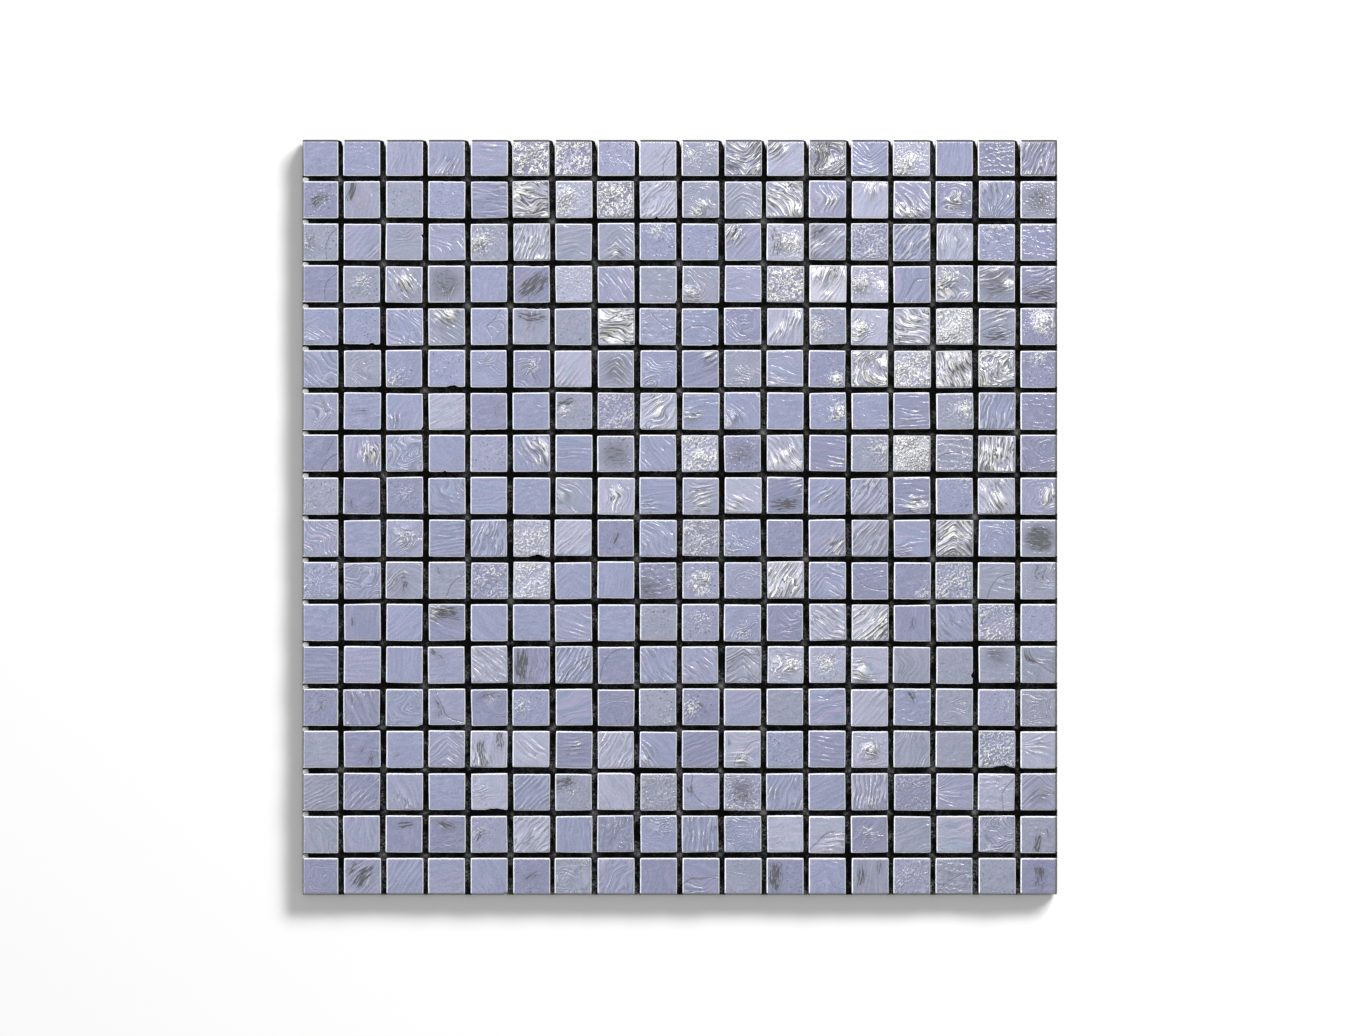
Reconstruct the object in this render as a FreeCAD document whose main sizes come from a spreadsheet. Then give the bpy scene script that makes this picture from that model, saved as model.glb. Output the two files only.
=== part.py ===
# Glass mosaic sheet: square cut tiles set in rows on a thin closed backing.
# Millimetres, +Z up. The origin is under the middle of the sheet, on the surface that it lies on.
# +X runs along a row from its first tile, and row 01 is the one furthest along +Y.

import FreeCAD, Part
import os
import random

import Sketcher

# Driving dimensions: alias, value, what it is.
DRIVING = [
    ("tile_side", 14.5, "side of a full square tile"),
    ("joint_width", 2.0, "open joint between two full tiles"),
    ("tiles_across", 18, "tiles in a row"),
    ("tiles_down", 18, "rows in the sheet"),
    ("glass_thickness", 4.0, "thickness of the glass"),
    ("arris_width", 0.5, "width of the softened edge round a tile's face"),
    ("corner_nip", 0.4, "how far an upright corner of a tile is taken off"),
    ("cut_step", 0.18, "what a hand cut takes off a side"),
    ("setting_slack", 0.22, "furthest that a tile is set from its place in the grid"),
    ("turn_slack", 0.8, "furthest that a tile is turned in the grid, in degrees"),
    ("backing_thickness", 0.8, "thickness of the backing"),
    ("inset_left", 3.0, "backing short of the tiles at the -X edge"),
    ("inset_right", 0.6, "backing short of the tiles at the +X edge"),
    ("inset_top", 4.4, "backing short of the tiles at the +Y edge"),
    ("inset_bottom", 0.6, "backing short of the tiles at the -Y edge"),
]

# The ways a tile comes off the cutter: how many cut steps its far side, near side and depth lose.
CUTS = [
    ("cut_full", 0, 0, 0),
    ("cut_narrow", 1, 1, 0),
    ("cut_short", 0, 0, 2),
    ("cut_lean", 2, 0, 1),
]

SEED = 324
QUARTER_TURN = 90
PITCH = "(Sizes.tile_side + Sizes.joint_width)"


def size_sheet(doc):
    """The spreadsheet that holds every driving dimension under its alias."""
    sheet = doc.addObject("Spreadsheet::Sheet", "Sizes")
    for line, (alias, value, meaning) in enumerate(DRIVING, start=1):
        sheet.set(f"A{line}", str(value))
        sheet.setAlias(f"A{line}", alias)
        sheet.set(f"B{line}", meaning)
    doc.recompute()
    return sheet


def new_body(doc, name):
    body = doc.addObject("PartDesign::Body", name)
    body.Label = name
    return body


def flat_sketch(body, name):
    """An empty sketch on the body's own XY plane."""
    sketch = body.newObject("Sketcher::SketchObject", name)
    ground = [f for f in body.Origin.OriginFeatures if f.Role == "XY_Plane"][0]
    sketch.AttachmentSupport = (ground, [""])
    sketch.MapMode = "FlatFace"
    return sketch


def closed_outline(sketch, half):
    """Four joined lines round the origin: near, right, far and left side."""
    corners = [(-half, -half), (half, -half), (half, half), (-half, half)]
    points = [FreeCAD.Vector(x, y, 0) for x, y in corners]
    for i in range(4):
        sketch.addGeometry(Part.LineSegment(points[i], points[(i + 1) % 4]), False)
    for i in range(4):
        sketch.addConstraint(Sketcher.Constraint("Coincident", i, 2, (i + 1) % 4, 1))


def bind_length(sketch, constraint, expression):
    """Adds a dimension to the sketch and ties it to the spreadsheet."""
    index = sketch.addConstraint(constraint)
    sketch.setExpression(f"Constraints[{index}]", expression)


def padded(body, sketch, thickness):
    pad = body.newObject("PartDesign::Pad", body.Name + "_pad")
    pad.Profile = sketch
    pad.setExpression("Length", thickness)
    body.Document.recompute()
    return pad


def chamfered(body, base, name, edges, width):
    """Takes the named edges of the body's last feature off at 45 degrees."""
    chamfer = body.newObject("PartDesign::Chamfer", f"{body.Name}_{name}")
    chamfer.Base = (base, edges)
    chamfer.setExpression("Size", width)
    body.Document.recompute()
    return chamfer


def upright_edges(shape):
    return [
        f"Edge{i}"
        for i, edge in enumerate(shape.Edges, start=1)
        if edge.BoundBox.ZLength > shape.BoundBox.ZLength / 2
    ]


def face_edges(shape):
    """The edges round the face that is seen, which is the top one."""
    level = shape.BoundBox.Center.z
    return [
        f"Edge{i}"
        for i, edge in enumerate(shape.Edges, start=1)
        if edge.BoundBox.ZMin > level
    ]


def glass_cut(doc, name, far_steps, near_steps, depth_steps):
    """One cut of tile, centred on the origin and standing on Z = 0."""
    body = new_body(doc, name)
    sketch = flat_sketch(body, name + "_outline")
    side = doc.Sizes.tile_side
    closed_outline(sketch, side / 2)
    near, far, upright_axis, origin = 0, 2, -2, -1
    for line in (near, far):
        sketch.addConstraint(Sketcher.Constraint("Symmetric", line, 1, line, 2, upright_axis))
    half_depth = f"(Sizes.tile_side - {depth_steps} * Sizes.cut_step) / 2"
    bind_length(
        sketch,
        Sketcher.Constraint("DistanceX", near, 1, near, 2, side),
        f"Sizes.tile_side - {near_steps} * Sizes.cut_step",
    )
    bind_length(
        sketch,
        Sketcher.Constraint("DistanceX", far, 2, far, 1, side),
        f"Sizes.tile_side - {far_steps} * Sizes.cut_step",
    )
    bind_length(sketch, Sketcher.Constraint("DistanceY", near, 1, origin, 1, side / 2), half_depth)
    bind_length(sketch, Sketcher.Constraint("DistanceY", origin, 1, far, 1, side / 2), half_depth)
    pad = padded(body, sketch, "Sizes.glass_thickness")
    nipped = chamfered(body, pad, "nip", upright_edges(pad.Shape), "Sizes.corner_nip")
    chamfered(body, nipped, "arris", face_edges(nipped.Shape), "Sizes.arris_width")
    return body


def hand_setting(row, column, last_row, last_column):
    """How a tile sits in the grid: its cut, quarter turns, and its share of each slack.

    The tiles at the sheet's edge lie against the laying tray, so they are full, square and flush.
    """
    draw = random.Random(SEED * (row * 100 + column))
    cut = draw.randrange(len(CUTS))
    quarters = draw.randrange(4)
    shift_x, shift_y, turn = [round(draw.uniform(-1, 1), 2) for _ in range(3)]
    at_side = column in (0, last_column)
    at_end = row in (0, last_row)
    if at_side or at_end:
        cut, quarters, turn = 0, 0, 0
    if at_side:
        shift_x = 0
    if at_end:
        shift_y = 0
    return cut, quarters, shift_x, shift_y, turn


def tile_row(doc, cuts, row):
    """One row of tiles: a link to a cut for each place, gathered in one compound."""
    last_column = int(doc.Sizes.tiles_across) - 1
    last_row = int(doc.Sizes.tiles_down) - 1
    name = f"tile_row_{row + 1:02d}"
    tiles = []
    for column in range(last_column + 1):
        cut, quarters, shift_x, shift_y, turn = hand_setting(row, column, last_row, last_column)
        tile = doc.addObject("App::Link", f"{name}_tile_{column + 1:02d}")
        tile.LinkedObject = cuts[cut]
        place_x = f"({column} - (Sizes.tiles_across - 1) / 2) * {PITCH}"
        tile.setExpression(".Placement.Base.x", f"{place_x} + {shift_x} * Sizes.setting_slack")
        tile.setExpression(".Placement.Base.y", f"{shift_y} * Sizes.setting_slack")
        turned = f"{quarters * QUARTER_TURN} + {turn} * Sizes.turn_slack"
        tile.setExpression(".Placement.Rotation.Angle", turned)
        tiles.append(tile)
    gathered = doc.addObject("Part::Compound", name)
    gathered.Label = name
    gathered.Links = tiles
    gathered.setExpression(".Placement.Base.y", f"((Sizes.tiles_down - 1) / 2 - {row}) * {PITCH}")
    gathered.setExpression(".Placement.Base.z", "Sizes.backing_thickness")
    return gathered


def backing(doc):
    """The closed backing under the tiles, trimmed short of them at each edge of the sheet."""
    body = new_body(doc, "backing_sheet")
    sketch = flat_sketch(body, "backing_outline")
    half = doc.Sizes.tile_side
    closed_outline(sketch, half)
    near, right, far, left, origin = 0, 1, 2, 3, -1
    for line in (near, far):
        sketch.addConstraint(Sketcher.Constraint("Horizontal", line))
    for line in (right, left):
        sketch.addConstraint(Sketcher.Constraint("Vertical", line))
    half_width = f"(Sizes.tiles_across * {PITCH} - Sizes.joint_width) / 2"
    half_depth = f"(Sizes.tiles_down * {PITCH} - Sizes.joint_width) / 2"
    edges = [
        (Sketcher.Constraint("DistanceX", left, 1, origin, 1, half), half_width, "inset_left"),
        (Sketcher.Constraint("DistanceX", origin, 1, right, 1, half), half_width, "inset_right"),
        (Sketcher.Constraint("DistanceY", near, 1, origin, 1, half), half_depth, "inset_bottom"),
        (Sketcher.Constraint("DistanceY", origin, 1, far, 1, half), half_depth, "inset_top"),
    ]
    for constraint, reach, inset in edges:
        bind_length(sketch, constraint, f"{reach} - Sizes.{inset}")
    padded(body, sketch, "Sizes.backing_thickness")
    return body


def checked(doc, pieces):
    """Stops the build if any object failed or a piece is not made of whole solids."""
    failed = [o.Name for o in doc.Objects if {"Invalid", "Error"} & set(o.State)]
    if failed:
        raise RuntimeError(f"these objects failed: {failed}")
    for piece in pieces:
        shape = piece.Shape
        if shape.isNull() or not shape.isValid() or not shape.Solids:
            raise RuntimeError(f"{piece.Label} has no valid solid")


def main():
    doc = FreeCAD.newDocument("mosaic_sheet")
    size_sheet(doc)
    cuts = [glass_cut(doc, *cut) for cut in CUTS]
    pieces = [tile_row(doc, cuts, row) for row in range(int(doc.Sizes.tiles_down))]
    pieces.append(backing(doc))
    doc.recompute()
    checked(doc, pieces)
    os.makedirs("parts", exist_ok=True)
    for piece in pieces:
        piece.Shape.exportStep(f"parts/{piece.Label}.step")
        box = piece.Shape.BoundBox
        print(piece.Label, len(piece.Shape.Solids), "solids", [round(v, 2) for v in (
            box.XMin, box.YMin, box.ZMin, box.XMax, box.YMax, box.ZMax)])


main()
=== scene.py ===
import math

import bpy
import numpy as np
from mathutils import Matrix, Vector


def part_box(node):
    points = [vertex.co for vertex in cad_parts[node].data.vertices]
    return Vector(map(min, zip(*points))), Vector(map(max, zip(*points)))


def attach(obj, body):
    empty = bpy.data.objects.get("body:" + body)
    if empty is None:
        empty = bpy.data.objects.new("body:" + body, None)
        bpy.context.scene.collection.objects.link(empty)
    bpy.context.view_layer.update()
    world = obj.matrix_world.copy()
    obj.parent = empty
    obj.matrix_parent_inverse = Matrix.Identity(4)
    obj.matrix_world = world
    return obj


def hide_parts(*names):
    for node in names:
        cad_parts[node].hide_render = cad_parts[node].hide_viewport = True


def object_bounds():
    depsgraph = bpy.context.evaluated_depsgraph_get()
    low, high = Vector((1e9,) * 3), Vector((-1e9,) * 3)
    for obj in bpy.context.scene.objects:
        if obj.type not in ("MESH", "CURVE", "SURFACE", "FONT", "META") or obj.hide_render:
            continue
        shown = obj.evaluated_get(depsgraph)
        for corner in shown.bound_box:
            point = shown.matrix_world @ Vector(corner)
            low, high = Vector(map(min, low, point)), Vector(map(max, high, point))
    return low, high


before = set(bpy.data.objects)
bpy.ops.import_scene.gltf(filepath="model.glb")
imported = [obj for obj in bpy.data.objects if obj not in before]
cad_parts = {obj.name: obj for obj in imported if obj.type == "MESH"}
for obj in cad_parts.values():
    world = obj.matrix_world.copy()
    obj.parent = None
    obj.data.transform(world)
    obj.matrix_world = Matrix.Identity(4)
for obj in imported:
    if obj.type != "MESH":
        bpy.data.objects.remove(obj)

cadBox = [list(corner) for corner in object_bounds()]
mm = 0.001
rng = np.random.default_rng(1818)
intoScene = bpy.context.scene.collection.objects.link


def linear(red, green, blue):  # a colour as it shows on screen, 0 to 255, as light
    return [((c / 255 + 0.055) / 1.055) ** 2.4 for c in (red, green, blue)]


# The sheet's rows in the frame, from the far side to the near one
rowNames = sorted(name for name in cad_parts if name.startswith("tile_row"))
rowCount = len(rowNames)

# How each tile is finished. The five marks are its relief, the way its ridges run in eighths of
# a half turn, their strength, the part of the face that they are strongest in (laid out as the
# keys of a number pad, 0 for all of it) and the melt of the glass.
# Relief: plain, waves, flowing, swirl, vee, rays, crinkled, hammered, marbled.
# Melt: blue, lilac, violet, grey, white, snow; snow, the palest, is partly a painted highlight on tiles
# with large flashing parts.
layingPlan = """
p010b p010b w420l w352l w038l h090v c070v c024l w236w h045g v880b w267w s290v v820b h081w w420b p010v w350v
c045v f415g c025g c022b w030v f080w c094w c090v w240w s062g v030g f670w f465l f339w w682l s075v r440b c036g
c444g w233l f028g f720l h094g w350w f034g v052g c058b c026b w277l c085w w240g c050v w250b f330w c058b p010v
p010v c055g w665g f435g p410b w245v c030w w620l p010g s061g f024l h080l w358s h074w f320b s094g f157g w158v
s041b c023b f630b w678g s036b f438g c024g f080s p020l p010b s045v w320w c044g s064w f760w c070s w158g h076v
f630b s045g h051b c020b s038b s055v w241w v045g s051b w159v s042g f041l c053v s070w c070w w590s s090l c068v
s055l p020b f331b w120w p010v p010b c034g c050v f240w w054b w651b p018b h066b p023b w042v h066g w340b p010v
p010v w476l s040b w610b c036l w696b w024b c023g w620b h060w c030v w630w w033v c066g h080s p030g w470w s030v
c030g p010v c045v f630b f010b p010b f644g f445w f051b f165g w651w w149v w255b w240l w052v h049b w540w s066l
f630l p010b s075l w030b w340b c060w w230w c023v f630b c050g s051b c025v w263l w240g f041b v080w s020b p000g
c040b s040b v044g p020g c050v c060w v010b w410b p030v h075l s020l w350s v030b p010v c053v c060b r036g s039g
p010b w410v w223b w767v w610b p000b w720l p010b c020g c055l s052b s045v w640w w250s w410v w630b c060l c010l
w020v w010l w410b p010l w640w w430v w340b p018v w630b w630l v040g s065w h065w f051w f434g c010g p010g f620g
c035v w530v s030b p010l s048v c054b m110b s020v h053g c064v f110l p010g m120b w239w p020b s020g c046l s030g
p010g p010v p010b v030l w461w w645w w045v w330w w651b w120v f042w c030b w045v s065w f320g p010g c060b r045w
w130g w230v w552l p010b s044w w230b c045g w520w c040g p010l c050l w330b w110b w440l c040v r020l p020w v030l
f520g m420l p410v p020v c044l w240w w420b p430v s058b w440b s030b p021w f043w s055v f120g m020w s040l p025g
s020v w255l w320b p010l w520b c032v s030g f330l p410v f041v s010g c034v s032b w434g c040l p030g c020g p010v
"""


def byPlace(text):  # what is listed for single tiles: row,column and its marks
    entries = [entry.split(maxsplit=1) for entry in text.split(";")]
    return {tuple(map(int, place.split(","))): marks.strip() for place, marks in entries}


# Smoky marks in the melt, by row and column: part of the face, way it runs (8 is round), size, strength
smokeMarks = byPlace("""
1,13 4399 8378; 1,17 5892; 2,1 5168; 2,2 7458; 2,5 5043; 2,16 5154; 2,18 5875; 3,1 4484; 3,3 8053;
3,12 4486; 3,13 7286; 4,4 5885; 4,6 5299 6287; 4,17 5885; 4,18 2098; 5,6 8087 5254; 5,17 2087; 6,8 5864;
6,10 9744; 7,2 5055; 7,3 1354; 7,5 6443; 7,7 7157; 8,1 9364; 8,8 5875; 8,11 5854; 9,2 1655 3354;
9,12 2088; 10,8 5346; 10,18 5879; 11,3 2365 5454; 11,4 7636; 11,9 1865 3823; 11,18 8565 2135; 12,2 4436;
12,4 8088 5753; 12,11 2136; 12,15 5445; 13,4 7665; 13,6 4489; 13,15 4463; 13,17 8855; 13,18 7648 6653;
14,1 5345; 14,2 7554; 14,4 4556; 14,5 8056; 14,10 5655; 14,15 8547; 15,2 3356 5235; 15,3 1235;
15,5 4467 9467; 15,11 7434; 16,7 7187; 16,10 4547; 16,11 5865; 16,18 5863; 17,3 8057; 17,4 8757;
17,5 4346; 17,8 5354; 17,10 4444; 17,14 5146; 17,18 2457 6535; 18,2 5279 7266; 18,6 5165; 18,12 4489;
18,14 4476 9445; 18,18 5486
""")

# Parts of a face that lean towards the window lamp and flash, by row and column: part, strength
leaningParts = byPlace("""
1,10 45 95; 1,12 76; 1,13 35; 1,14 25; 1,15 18 58; 2,6 28 45; 2,7 16; 2,12 56; 2,14 87; 2,15 18; 3,6 43;
3,9 86; 3,11 76; 3,12 69 38; 3,16 46; 4,3 54; 4,12 86; 4,13 99 77 28; 4,14 49 67; 4,16 19 35; 4,17 68;
5,4 83; 5,8 49 69 89; 5,12 57 16 97; 5,13 46 15; 5,14 16 45; 5,15 17 56; 5,16 58 98 18; 5,18 58 87;
6,13 35; 6,14 35 25; 6,15 55 14; 6,16 58 17; 6,17 59 15 65; 7,7 45; 7,9 56 83; 7,13 65; 7,16 65; 8,2 64;
8,6 85; 8,10 55 25; 8,12 57 17 37; 8,15 59 39 17; 8,17 47 17; 9,8 55 25; 9,10 55 26; 9,15 37 24;
9,17 27 57; 9,18 65 34; 10,13 35; 10,16 55 25; 11,10 26 55; 11,12 29 57; 12,13 55; 12,14 39 67;
13,12 47 67; 13,13 56; 13,14 15 44; 15,11 27; 15,14 55; 16,14 25; 17,13 25
""")

# One long fold across a face, a groove with painted shade along it, by row and column: a part that it
# passes through and the way it runs
folds = byPlace("""
1,9 63; 3,1 63; 3,18 96; 4,1 63; 4,6 53; 4,15 52; 4,18 50; 5,5 53; 5,9 67; 5,10 50; 5,17 50; 8,1 32;
8,16 50; 9,14 96; 11,4 62; 11,9 56; 11,14 27; 11,17 52; 13,7 52; 13,8 72; 13,11 81; 13,18 56; 14,4 26;
15,11 52; 16,10 45; 16,17 63; 17,13 51; 18,10 50; 18,16 51
""")

# Bites out of a side, by row and column: side (near, right, far, left), how far along, width, depth
bites = byPlace("""
10,6 n663; 4,9 r022; 7,3 r022; 7,9 n012; 8,4 n412; 8,3 n012; 12,12 n922; 14,2 n922; 14,3 n932;
16,8 f922; 15,17 n673; 5,10 n822; 5,2 n722; 17,16 f922; 13,16 r222; 3,3 r612; 6,4 n642; 2,9 n412;
4,6 f681; 5,6 f691; 18,5 n932; 16,5 n672
""")

cameraMake = {
    "lens": 100.0,
    "sensorWidth": 36.0,
    "framePixels": (1361, 1036),
    "pixelsPerMm": 2.565,  # the pitch of the tiles in the photograph
    "gridCentrePixel": (679.4, 516.9),  # where the middle crossing of the joints shows
}

studio = {
    "windowPlace": (0.24, 0.46, 0.72),  # the long soft lamp that flashes in the relief
    "windowSize": (0.52, 0.17),
    "windowGlow": 13.0,
    "windowTone": (1.0, 0.975, 0.92),
    "leftPlace": (-1.75, 0.15, 0.77),  # two strips that whiten the left and far edges
    "leftSize": (2.0, 0.50),
    "leftGlow": 8.8,
    "farPlace": (-0.08, 1.67, 0.73),
    "farSize": (2.17, 0.50),
    "farGlow": 6.1,
    "fill": 0.31,  # the plain light from all round
    "shadowPlace": (2.05, 2.5, 1.14),  # lights the floor alone, for the sheet's shadow
    "shadowSize": (1.9, 0.6),
    "shadowGlow": 74.0,
    "overheadPlace": (0.0, 0.0, 2.2),  # keeps that shadow pale and even
    "overheadSize": (1.2, 1.2),
    "overheadGlow": 1.8,
    "floorTone": 0.93,
    "floorBounce": 0.56,
    "floorReach": 4.0,
    "floorLevel": -0.00005,  # just clear of the sheet
}


def makeCamera(make):
    # the distance at which the frame is as wide as its pixels say; the offset moves the middle
    # crossing to its pixel
    wide, high = make["framePixels"]
    distance = make["lens"] / make["sensorWidth"] * wide / make["pixelsPerMm"] * mm
    data = bpy.data.cameras.new("lookingDown")
    data.lens = make["lens"]
    data.sensor_width = make["sensorWidth"]
    data.clip_end = 20
    camera = bpy.data.objects.new("lookingDown", data)
    offsetX = (wide / 2 - make["gridCentrePixel"][0]) / make["pixelsPerMm"] * mm
    offsetY = (make["gridCentrePixel"][1] - high / 2) / make["pixelsPerMm"] * mm
    camera.location = (offsetX, offsetY, cadBox[1][2] + distance)
    intoScene(camera)
    bpy.context.scene.camera = camera
    return camera


camera = makeCamera(cameraMake)


# Small helpers for materials
def addNode(tree, kind, inputs=None, **settings):
    made = tree.nodes.new(kind)
    for name, value in settings.items():
        setattr(made, name, value)
    for name, value in (inputs or {}).items():
        if isinstance(value, bpy.types.NodeSocket):
            tree.links.new(value, made.inputs[name])
        else:
            made.inputs[name].default_value = value
    return made


def calc(tree, operation, first, second=0.0):
    return addNode(tree, "ShaderNodeMath", {0: first, 1: second}, operation=operation).outputs[0]


def times(tree, first, second):
    return calc(tree, "MULTIPLY", first, second)


def scaled(tree, value, factor, offset):  # value times factor, plus offset
    inputs = {0: value, 1: factor, 2: offset}
    return addNode(tree, "ShaderNodeMath", inputs, operation="MULTIPLY_ADD").outputs[0]


def blend(tree, share, first, second):
    made = addNode(tree, "ShaderNodeMix", {0: share, 6: first, 7: second}, data_type="RGBA")
    return made.outputs[2]


def stepUp(tree, value, low, high, bottom=0.0, top=1.0):
    made = addNode(tree, "ShaderNodeMapRange", {
        "Value": value, "From Min": low, "From Max": high, "To Min": bottom, "To Max": top,
    }, interpolation_type="SMOOTHSTEP")
    return made.outputs["Result"]


def grain(tree, place, scale, detail=2.0, rough=0.5):
    inputs = {"Vector": place, "Scale": scale, "Detail": detail, "Roughness": rough}
    return addNode(tree, "ShaderNodeTexNoise", inputs, noise_dimensions="3D").outputs["Fac"]


def readField(tree, name, output="Fac"):  # what the mesh says at each point
    return addNode(tree, "ShaderNodeAttribute", attribute_name=name).outputs[output]


def splitAxes(tree, vector):
    made = addNode(tree, "ShaderNodeSeparateXYZ", {"Vector": vector})
    return [made.outputs[axis] for axis in "XYZ"]


def seenDirectly(tree):
    # 1 for what the camera sees, also in a mirror or through glass, and 0 for what light falls on
    path = addNode(tree, "ShaderNodeLightPath")
    seen = calc(tree, "MAXIMUM", path.outputs["Is Camera Ray"], path.outputs["Is Glossy Ray"])
    return calc(tree, "MAXIMUM", seen, path.outputs["Is Transmission Ray"])


def newMaterial(name):
    material = bpy.data.materials.new(name)
    material.use_nodes = True
    tree = material.node_tree
    tree.nodes.clear()
    return material, tree


# The same noise for a whole array: random heights on a square lattice, eased between neighbours
def ease(t):  # 0 to 1, slow at both ends: three squares less two cubes
    t = np.clip(t, 0, 1)
    return t * t * (3 - 2 * t)


def noise(x, y, salt):
    cellX, cellY = np.floor(x), np.floor(y)
    shareX, shareY = ease(x - cellX), ease(y - cellY)

    def knot(stepX, stepY):
        key = (cellX + stepX) * 127.1 + (cellY + stepY) * 311.7 + salt * 74.7
        return np.modf(np.sin(key) * 43758.5453)[0]

    near = knot(0, 0) * (1 - shareX) + knot(1, 0) * shareX
    far = knot(0, 1) * (1 - shareX) + knot(1, 1) * shareX
    return near * (1 - shareY) + far * shareY


def meshPiece(name, points, faces, material, fields=None, smooth=True):
    # faces is a list of index arrays, one for each number of corners
    mesh = bpy.data.meshes.new(name)
    loops = np.concatenate([block.ravel() for block in faces]).astype(np.int32)
    sizes = np.concatenate([np.full(len(block), block.shape[1]) for block in faces])
    starts = np.concatenate([[0], np.cumsum(sizes)[:-1]]).astype(np.int32)
    mesh.vertices.add(len(points))
    mesh.vertices.foreach_set("co", (points * mm).astype(np.float32).ravel())
    mesh.loops.add(len(loops))
    mesh.loops.foreach_set("vertex_index", loops)
    mesh.polygons.add(len(sizes))
    mesh.polygons.foreach_set("loop_start", starts)
    mesh.polygons.foreach_set("use_smooth", np.full(len(sizes), smooth) & (sizes < 5))
    mesh.update(calc_edges=True)
    mesh.validate()
    for field, values in (fields or {}).items():
        kind = "FLOAT" if values.ndim == 1 else "FLOAT_VECTOR"
        layer = mesh.attributes.new(field, kind, "POINT")
        entry = "value" if values.ndim == 1 else "vector"
        layer.data.foreach_set(entry, values.astype(np.float32).ravel())
    mesh.materials.append(material)
    piece = bpy.data.objects.new(name, mesh)
    intoScene(piece)
    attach(piece, "root")
    return piece


# Places of the tiles, read from the frame
def loosePoints(name):  # a node's points, in mm
    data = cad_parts[name].data
    points = np.empty(len(data.vertices) * 3)
    data.vertices.foreach_get("co", points)
    return points.reshape(-1, 3) / mm


def tileCorners(points):
    # the foot of a tile has its four long sides and four nips: the corners are where the long
    # sides would meet, from the near left one anticlockwise
    foot = points[points[:, 2] < points[:, 2].min() + 0.01, :2]
    foot = np.unique(foot.round(4), axis=0)
    middle = foot.mean(0)
    foot = foot[np.argsort(np.arctan2(*(foot - middle).T[::-1]))]
    ends = np.roll(foot, -1, axis=0)
    long = np.argsort(-np.hypot(*(ends - foot).T))[:4]
    starts, ways = foot[long], ends[long] - foot[long]
    turn = np.argsort(np.arctan2(*((starts + ways / 2) - middle).T[::-1]))
    starts, ways = starts[turn], ways[turn]
    corners = []
    for side in range(4):
        other = (side + 1) % 4
        both = np.column_stack([ways[side], -ways[other]])
        reach = np.linalg.solve(both, starts[other] - starts[side])
        corners.append(starts[side] + reach[0] * ways[side])
    corners = np.array(corners)
    first = np.argmin((corners - middle).sum(1))
    return np.roll(corners, -first, axis=0)


def readTiles():
    # in a row's points, sorted by x, a tile's two sides are a wide step apart and the next tile
    # starts after a joint's narrower one
    found = []
    for name in rowNames:
        points = loosePoints(name)
        points = points[np.argsort(points[:, 0])]
        steps = np.diff(points[:, 0])
        breaks = np.where((steps > 1.0) & (steps < 5.0))[0] + 1
        found.append([tileCorners(tile) for tile in np.split(points, breaks)])
    return np.array(found)


corners = readTiles()
columnCount = corners.shape[1]
tileCount = rowCount * columnCount
sideLength = np.linalg.norm(corners[..., 1, :] - corners[..., 0, :], axis=-1).max()
footLevel, topLevel = [corner[2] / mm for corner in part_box(rowNames[0])]
print(f"places read: {rowCount} rows of {columnCount} tiles, side {sideLength:.2f} mm")

tileMake = {
    "samples": 28,  # points along a side of a face
    "rimAcross": 0.56,  # width and depth of the rounded edge, in mm
    "rimDown": 0.50,
    "rimRings": 3,
    "litLevels": (1.33, 1.67, 2.0, 2.33),  # how dark the rim and wall get, painted: the left and far sides keep the rim's painted highlight
    "shadedLevels": (1.33, 1.75, 2.9, 3.2),  # right side: the wall's painted shade reaches up the rim
    # near side: the wall's painted shade reaches up the rim, a little less far
    "nearLevels": (1.25, 1.55, 2.65, 3.2),
    # at the sheet's own edge, for the near, right, far and left side: mostly the wall's dark colour, a
    # painted shade outline
    "outerLevels": ((1.12, 1.9, 2.5, 1.5), (3.0,) * 4, (3.4,) * 4, (3.4,) * 4),
    "outerRim": (0.90, 1.05, 1.10, 0.88),
    "outerLip": (1.0, 0.45, 0.45, 1.0),  # how wide its pale part is; a narrow one is steeper
    "outerTrim": (0.0, 0.0, 0.25, 0.42),  # as the photograph's grid lies off the middle
    "outerSlope": ((0.25, 0.06), (0.36, 0.22), (0.94, 1.5), (1.0, 4.0)),  # by ring: share out, mm down
    "cornerSoft": 0.10,
    "sideBow": 0.03,  # how far a cut side wanders
    "sideGrit": 0.04,
    "headroom": 0.16,  # how far a face lies below the highest point of the glass, on average
    "crown": 0.05,
    "tilt": 1.1,  # in degrees
    "warpSize": 5.5,  # of what bends the ridges, in mm
    "gustSize": 3.4,
    "swellSize": 6.5,
    "ridgeSlope": 1.6,  # degrees of slope for each step of strength
    "broadSlope": 2.2,
    "hollow": 0.03,
    "partOut": 4.2,  # from a face's middle to its outer parts, in mm
    "partSpread": 3.4,
    "leanSpread": 2.3,
    "smokeOut": 3.6,
    "smokeLong": 0.75,
    "smokeWide": 0.34,
    "foldOut": 3.0,
}

# for each relief: how far its ridges bend, their spacing in mm, how crinkled they are, how marbled
reliefMake = {
    "p": (1.2, 3.0, 0.3, 0.25),
    "w": (0.9, 2.1, 0.15, 0.35),
    "f": (2.4, 2.5, 0.15, 0.5),
    "s": (3.2, 2.0, 0.4, 0.3),
    "v": (1.2, 2.1, 0.2, 0.3),
    "r": (1.0, 2.0, 0.2, 0.3),
    "c": (1.0, 2.0, 0.9, 0.25),
    "h": (1.0, 2.0, 1.0, 0.2),
    "m": (1.8, 3.4, 0.1, 1.0),
}

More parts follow.
